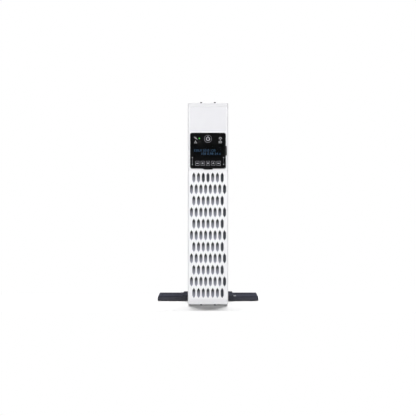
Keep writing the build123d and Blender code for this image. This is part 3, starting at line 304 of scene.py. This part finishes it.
def glow(name, first, second, strength):
    """Lit print or light pipe: brightness drifts a little over the surface."""
    shader = Shader(name)
    colour = shader.blend_colours(shader.noise(GLOW_DRIFT), first, second)
    shader.feed(Base_Color=colour, Emission_Color=colour)
    shader.set(Emission_Strength=strength, Roughness=0.35)
    return shader.material


def ink(name, first, second, rough=(0.4, 0.5)):
    """Flat printing ink; the grey and dim inks also paint the highlights of the grip ribs."""
    return plastic(name, first, second, rough, grain=900.0, depth=0.01, edge=0.0)


SLOT_MATERIALS = {}


def finish(make, slot, *looks, **more):
    """Makes the material of a slot."""
    SLOT_MATERIALS[slot] = make(slot, *looks, **more)


# Finishes of the slots: two tones, range of roughness, grain per metre, sizes in millimetres
finish(plastic, "white_bezel", "#F2F2F4", "#F6F6F7", (0.38, 0.48), grain=2600.0, depth=0.03, specular=0.3)
finish(mesh_sheet_with_painted_shade, "mesh_grey", "#9A9CA8", "#6F717D", pitch=1.2)
finish(plastic, "dark_plastic", "#272832", "#2E2F3A", (0.42, 0.56), grain=1800.0, depth=0.06, specular=0.2)
finish(
    plastic, "gloss_black", "#020203", "#050506", (0.05, 0.09),
    grain=1200.0, depth=0.01, edge=0.6, specular=0.4,
)
finish(glass, "clear_window", "#8C97A8", "#9AA4B4")
finish(
    plastic, "screen_glass", "#020304", "#040507", (0.15, 0.25),
    grain=900.0, depth=0.01, edge=0.0, specular=0.3,
)
finish(glow, "green_light", "#1C9A12", "#2CB020", strength=0.9)
finish(plastic, "smoke_light", "#0C0E0C", "#141714", (0.2, 0.3), grain=900.0, depth=0.01)
finish(plastic, "circuit_green", "#1B5230", "#266B3F", (0.35, 0.5), grain=700.0, depth=0.04)
finish(painted_steel, "black_steel", "#101116", "#17181E", (0.45, 0.6), grain=1100.0, depth=0.08)
finish(metal, "zinc_sheet", "#54575E", "#666970", (0.36, 0.52))
finish(metal, "bright_screw", "#B6B9BD", "#D2D4D7", (0.2, 0.34), stretch=(1, 1, 1))
finish(plastic, "battery_case", "#222327", "#2C2D32", (0.4, 0.55), grain=900.0, depth=0.05)
finish(metal, "bare_aluminium", "#B0B3B7", "#CDD0D3", (0.28, 0.4))
finish(painted_steel, "core_iron", "#3C3D41", "#54565B", (0.5, 0.65), grain=500.0, depth=0.1)
finish(metal, "winding_copper", "#A9602E", "#C98A52", (0.3, 0.45), stretch=(1, 40, 1))
finish(plastic, "pad_rubber", "#141517", "#1C1D20", (0.75, 0.9), grain=1500.0, depth=0.06)
# Greyer copy of the bezel white for the sunk field of the head: painted shade
HEAD_FIELD_PAINTED_SHADE = plastic("head_field_painted_shade", "#E2E2E5", "#E5E5E8", (0.4, 0.5), grain=2600.0, depth=0.03)

# Inks of the printed marks, of which the grey and dim ones also paint the highlights of the grip ribs
PRINT_LIGHT = ink("print_light", "#A2A2A8", "#AEAEB4")
PRINT_GREY_AND_HIGHLIGHT = ink("print_grey_and_highlight", "#808082", "#8C8C8E")
PRINT_LINE = ink("print_line", "#68686E", "#74747A")
PRINT_DIM_AND_HIGHLIGHT = ink("print_dim_and_highlight", "#4A4A50", "#56565C", rough=(0.35, 0.45))
PRINT_BLACK = SLOT_MATERIALS["gloss_black"]
SCREEN_INK = glow("screen_ink", "#52748C", "#688CA4", strength=1.1)


def dress_nodes():
    """Gives every CAD node the finish of its slot, and the sunk field of the head a greyer copy of the bezel
    white as painted shade.
    """
    for row in frame["record"]["subparts"]:
        mesh = nodes[row["node"]].data
        mesh.materials.clear()
        mesh.materials.append(SLOT_MATERIALS[row["material_slot"]])
    head = nodes["bezel_head"]
    head.data.materials.append(HEAD_FIELD_PAINTED_SHADE)
    # Faces of the sunk field take the greyer copy, which paints their shade
    for polygon in head.data.polygons:
        sunk = (head.matrix_world @ polygon.center)[1] - FACE_Y
        if polygon.normal[1] < FIELD_FACING and FIELD_DEPTH[0] < sunk < FIELD_DEPTH[1]:
            polygon.material_index = 1


# Printed marks on the display, and painted highlights of its grip ribs, in millimetres: places are from the
# display's middle, and within a mark a bar has x, z, width and height, a border width, height and line, and
# arcs are in degrees from +X
PRINT_THICK = 0.03 * MM
WELD = 0.001 * MM
DISPLAY_MIDDLE = (0.0, 0.0)
FULL_TURN = (0, 360)
POWER_SIGN_RADII = (2.8, 4.3)
POWER_SIGN_ARC = (128, 412)
POWER_STROKE = (0.0, 3.4, 1.5, 4.4)
POWER_RING_RADII = (7.2, 8.3)
LIGHT_MASK_RADII = (1.3, 2.6)
PLUG_PLACE = (-26.6, 26.8)
PLUG_BARS = ((0.4, -0.3, 4.6, 2.6), (-2.0, 2.3, 2.2, 0.7), (-2.9, 1.2, 2.2, 0.7), (3.0, -2.5, 2.4, 0.8))
PLUG_TURN = -40
TRIANGLE_PLACE = (-26.7, 17.8)
TRIANGLE_RADII = (2.3, 4.0)
TRIANGLE_ARC = (90, 450)
TRIANGLE_STROKE = (0.0, 0.3, 0.7, 1.8)
BELL_PLACE = (26.4, 25.8)
BELL_RADII = (1.8, 3.3)
BELL_ARC = (0, 180)
BELL_RIM = (0.0, -0.7, 6.8, 1.0)
BELL_CLAPPER = (0.0, -2.0, 0.8)
CELL_PLACE = (26.4, 17.9)
CELL_BORDER = (6.8, 4.6, 0.8)
CELL_BAR = (1.2, 2.4)
CELL_BAR_PLACES = (-1.9, 0.0, 1.9)
CELL_CAP = (0.0, 3.0, 2.6, 1.0)
# Painted highlights of the grip ribs, which are not modelled: dots at their rounded ends, and lines along
# them
GRIP_HIGHLIGHT_PLACES = [(side * 33.5, z) for side in (-1, 1) for z in (-14.9, -29.8)]
GRIP_HIGHLIGHT_RADIUS = 1.1
GRIP_LINE_HIGHLIGHTS = ((-33.4, -22.3, 0.8, 12.4), (33.4, -22.3, 0.4, 12.4))
KEY_COUNT = 5
KEY_BORDER = (8.2, 9.8, 0.7)
KEY_ARROW_TURNS = {2: 180, 3: -90, 4: 90}
KEY_ARROW_RADIUS = 2.4
KEY_BAR = (0.0, 0.0, 4.6, 1.4)
SCREEN_LINES = (("230.0 50.0 120", (-30.5, -2.0)), ("100 0.98 24.6", (-15.5, -9.0)))
SCREEN_TEXT_SIZE = 6.9 * MM
SCREEN_TEXT_SPACING = 1.12


def flat_piece(name, outlines, middle, y, body, material):
    """Flat mark of filled outlines (millimetres round a middle in X and Z) at depth y, facing the front:
    print, and painted highlight on the grip ribs.
    """
    mesh = bpy.data.meshes.new(name)
    bm = bmesh.new()
    for outline in outlines:
        bm.faces.new([bm.verts.new((middle[0] + x * MM, y, middle[1] + z * MM)) for x, z in outline])
    bmesh.ops.remove_doubles(bm, verts=bm.verts, dist=WELD)
    bmesh.ops.recalc_face_normals(bm, faces=bm.faces)
    sheets = bmesh.ops.extrude_face_region(bm, geom=list(bm.faces))
    moved = [v for v in sheets["geom"] if isinstance(v, bmesh.types.BMVert)]
    bmesh.ops.translate(bm, verts=moved, vec=(0.0, -PRINT_THICK, 0.0))
    bmesh.ops.recalc_face_normals(bm, faces=bm.faces)
    bm.to_mesh(mesh)
    bm.free()
    piece = bpy.data.objects.new(name, mesh)
    mesh.materials.append(material)
    bpy.context.scene.collection.objects.link(piece)
    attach(piece, body)


def disc(x, z, radius, steps=16, start=0.0):
    """Round outline, or a regular one of few steps, from an angle in degrees."""
    angles = [math.radians(start + 360 * i / steps) for i in range(steps)]
    return [(x + radius * math.cos(a), z + radius * math.sin(a)) for a in angles]


def ring(inner, outer, start, end, steps):
    """Quads of a ring between two angles, in degrees from +X."""
    quads = []
    for i in range(steps):
        a, b = (math.radians(start + (end - start) * (i + j) / steps) for j in (0, 1))
        corners = ((inner, a), (outer, a), (outer, b), (inner, b))
        quads.append([(radius * math.cos(angle), radius * math.sin(angle)) for radius, angle in corners])
    return quads


def bar(x, z, width, height, turn=0.0):
    """Rectangle outline round x, z, turned by an angle in degrees."""
    c, s = math.cos(math.radians(turn)), math.sin(math.radians(turn))
    halves = [(i * width / 2, j * height / 2) for i, j in ((-1, -1), (1, -1), (1, 1), (-1, 1))]
    return [(x + i * c - j * s, z + i * s + j * c) for i, j in halves]


def border(width, height, line):
    """Four bars that frame a rectangle."""
    rise, reach = (height - line) / 2, (width - line) / 2
    across = [bar(0.0, z, width, line) for z in (rise, -rise)]
    return across + [bar(x, 0.0, line, height - 2 * line) for x in (-reach, reach)]


def node_place(node):
    """X and Z of a node's middle, and Y of its front."""
    low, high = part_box(node)
    return ((low[0] + high[0]) / 2, (low[2] + high[2]) / 2), low[1]


def at_display(place):
    """X and Z in metres of a place on the display."""
    return place[0] * MM, DISPLAY_Z + place[1] * MM


def add_power_marks():
    """The on/off sign on the power button's cap, a ring round it and a mask round the green light."""
    button, cap_y = node_place("power_button")
    sign = ring(*POWER_SIGN_RADII, *POWER_SIGN_ARC, steps=24) + [bar(*POWER_STROKE)]
    flat_piece("power_sign", sign, button, cap_y, "power_button", PRINT_LIGHT)
    light, light_y = node_place("power_light")
    mask = ring(*LIGHT_MASK_RADII, *FULL_TURN, steps=24)
    flat_piece("light_mask", mask, light, light_y, "display", PRINT_BLACK)
    circle = ring(*POWER_RING_RADII, *FULL_TURN, steps=48)
    flat_piece("power_ring", circle, button, DISPLAY_FRONT, "display", PRINT_DIM_AND_HIGHLIGHT)


def add_icons():
    """Mains plug, warning triangle, bell and battery cell as plain shapes, and painted highlights of the
    grip ribs: dots at their ends, lines along them.
    """
    plug = [bar(*place, PLUG_TURN) for place in PLUG_BARS]
    triangle = ring(*TRIANGLE_RADII, *TRIANGLE_ARC, steps=3) + [bar(*TRIANGLE_STROKE)]
    bell = ring(*BELL_RADII, *BELL_ARC, steps=12) + [bar(*BELL_RIM), disc(*BELL_CLAPPER)]
    cell = border(*CELL_BORDER) + [bar(x, 0.0, *CELL_BAR) for x in CELL_BAR_PLACES] + [bar(*CELL_CAP)]
    dots = [disc(*place, GRIP_HIGHLIGHT_RADIUS) for place in GRIP_HIGHLIGHT_PLACES]
    lines = [bar(*line) for line in GRIP_LINE_HIGHLIGHTS]
    for name, outlines, place, material in (
        ("plug_icon", plug, PLUG_PLACE, PRINT_GREY_AND_HIGHLIGHT),
        ("triangle_icon", triangle, TRIANGLE_PLACE, PRINT_GREY_AND_HIGHLIGHT),
        ("bell_icon", bell, BELL_PLACE, PRINT_GREY_AND_HIGHLIGHT),
        ("cell_icon", cell, CELL_PLACE, PRINT_GREY_AND_HIGHLIGHT),
        ("grip_end_highlights", dots, DISPLAY_MIDDLE, PRINT_GREY_AND_HIGHLIGHT),
        ("grip_rib_highlights", lines, DISPLAY_MIDDLE, PRINT_DIM_AND_HIGHLIGHT),
    ):
        flat_piece(name, outlines, at_display(place), DISPLAY_FRONT, "display", material)


def key_sign(number):
    """Plain direction sign of one key: an arrow head or a bar."""
    if number in KEY_ARROW_TURNS:
        return [disc(0.0, 0.0, KEY_ARROW_RADIUS, steps=3, start=KEY_ARROW_TURNS[number])]
    return [bar(*KEY_BAR)]


def add_key_marks():
    """Outline and sign on each key, riding with the key."""
    for number in range(1, KEY_COUNT + 1):
        node = f"key_{number}"
        key, cap_y = node_place(node)
        flat_piece(f"{node}_outline", border(*KEY_BORDER), key, cap_y, node, PRINT_LINE)
        flat_piece(f"{node}_sign", key_sign(number), key, cap_y, node, PRINT_LIGHT)


def add_screen_text():
    """Two lines of plain figures on the screen, behind the window."""
    text_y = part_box("display_screen")[0][1] - PRINT_THICK
    for number, (words, place) in enumerate(SCREEN_LINES, start=1):
        name = f"screen_line_{number}"
        curve = bpy.data.curves.new(name, "FONT")
        curve.body = words
        curve.size = SCREEN_TEXT_SIZE
        curve.space_character = SCREEN_TEXT_SPACING
        curve.materials.append(SCREEN_INK)
        line = bpy.data.objects.new(name, curve)
        left, base = at_display(place)
        line.location = (left, text_y, base)
        line.rotation_euler = (math.radians(90), 0.0, 0.0)
        bpy.context.scene.collection.objects.link(line)
        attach(line, "display")


def floor_material():
    """Floor that is white to the camera, keeps the shadow and throws little light back."""
    material = bpy.data.materials.new("studio_floor")
    tree = Tree(material, "Object")
    rays = tree.node("ShaderNodeLightPath").outputs
    seen = tree.joined("MAXIMUM", rays["Is Camera Ray"], rays["Is Glossy Ray"])
    seen = tree.joined("MAXIMUM", seen, rays["Is Transmission Ray"])
    # White by itself outside the strip, where the lamp's light too would bleed over the case's edges
    near, far = STRIP_SIDE
    outside = tree.along("Y", *STRIP_FRONT, 1.0, 0.0)
    for edge in (("Y", *STRIP_BACK, 0.0, 1.0), ("X", near, far, 0.0, 1.0), ("X", -far, -near, 1.0, 0.0)):
        outside = tree.joined("MAXIMUM", outside, tree.along(*edge))
    near, far = UNDER_SIDE
    under = tree.along("Y", *UNDER_FRONT, 0.0, UNDER_LIGHT)
    for edge in (("X", -far, -near, 0.0, 1.0), ("X", near, far, 1.0, 0.0)):
        under = tree.joined("MULTIPLY", under, tree.along(*edge))
    share = tree.joined("MULTIPLY", seen, tree.joined("MAXIMUM", outside, under))
    tone = tree.spread(seen, FLOOR_BOUNCE, FLOOR_SEEN)
    tree.link(tree.spread(outside, FLOOR_SEEN, 0.0), tone.node.inputs["To Max"])
    gloss = tree.spread(rays["Is Glossy Ray"], 1.0, 1.0)
    tree.link(tree.along(*GLOSS_FADE), gloss.node.inputs["To Max"])
    diffuse = tree.node("ShaderNodeBsdfDiffuse")
    tree.link(tree.joined("MULTIPLY", tone, gloss), diffuse.inputs["Color"])
    lift = tree.node("ShaderNodeEmission")
    lift.inputs["Color"].default_value = WHITE
    tree.link(tree.joined("MULTIPLY", share, gloss), lift.inputs["Strength"])
    both = tree.node("ShaderNodeAddShader")
    tree.link(diffuse.outputs[0], both.inputs[0])
    tree.link(lift.outputs[0], both.inputs[1])
    tree.link(both.outputs[0], tree.node("ShaderNodeOutputMaterial").inputs[0])
    return material


def surround(tree, colour, factors):
    """Background of one colour whose strength is the product of factors by direction."""
    strength = tree.along(*factors[0])
    for factor in factors[1:]:
        strength = tree.joined("MULTIPLY", strength, tree.along(*factor))
    background = tree.node("ShaderNodeBackground")
    background.inputs["Color"].default_value = colour
    tree.link(strength, background.inputs["Strength"])
    return background


def add_world():
    """White to the camera; in gloss and glass dark to the front and left; else light from the front."""
    world = bpy.data.worlds.new("studio_world")
    bpy.context.scene.world = world
    tree = Tree(world, "Generated")
    mirrored = surround(tree, WHITE, MIRROR_FACTORS)
    shown = tree.node("ShaderNodeBackground")
    shown.inputs["Color"].default_value = WHITE
    rays = tree.node("ShaderNodeLightPath").outputs
    last = surround(tree, LIGHT_COLOUR, LIGHT_FACTORS)
    for ray, background in (
        ("Is Glossy Ray", mirrored),
        ("Is Transmission Ray", mirrored),
        ("Is Camera Ray", shown),
    ):
        mixed = tree.node("ShaderNodeMixShader")
        tree.link(rays[ray], mixed.inputs[0])
        tree.link(last.outputs[0], mixed.inputs[1])
        tree.link(background.outputs[0], mixed.inputs[2])
        last = mixed
    tree.link(last.outputs[0], tree.node("ShaderNodeOutputWorld").inputs[0])


def add_lamp():
    """Wide lamp above and behind the case, which throws its shadow to the front."""
    data = bpy.data.lights.new("rear_lamp", "AREA")
    data.shape = "RECTANGLE"
    data.size, data.size_y = LAMP_SIZE
    data.energy = LAMP_POWER
    lamp = bpy.data.objects.new("rear_lamp", data)
    lamp.location = LAMP_PLACE
    lamp.rotation_euler = (Vector(LAMP_TARGET) - Vector(LAMP_PLACE)).to_track_quat("-Z", "Y").to_euler()
    lamp.visible_glossy = False
    bpy.context.scene.collection.objects.link(lamp)


def add_studio():
    """Pale floor, one wide lamp and the surround."""
    bpy.context.scene.view_settings.view_transform = "Standard"
    bpy.ops.mesh.primitive_plane_add(size=FLOOR_SIZE, location=(0.0, 0.0, 0.0))
    floor = bpy.context.object
    floor.name = "studio_floor"
    floor.data.materials.append(floor_material())
    add_lamp()
    add_world()


add_camera()
dress_nodes()
add_power_marks()
add_icons()
add_key_marks()
add_screen_text()
add_studio()
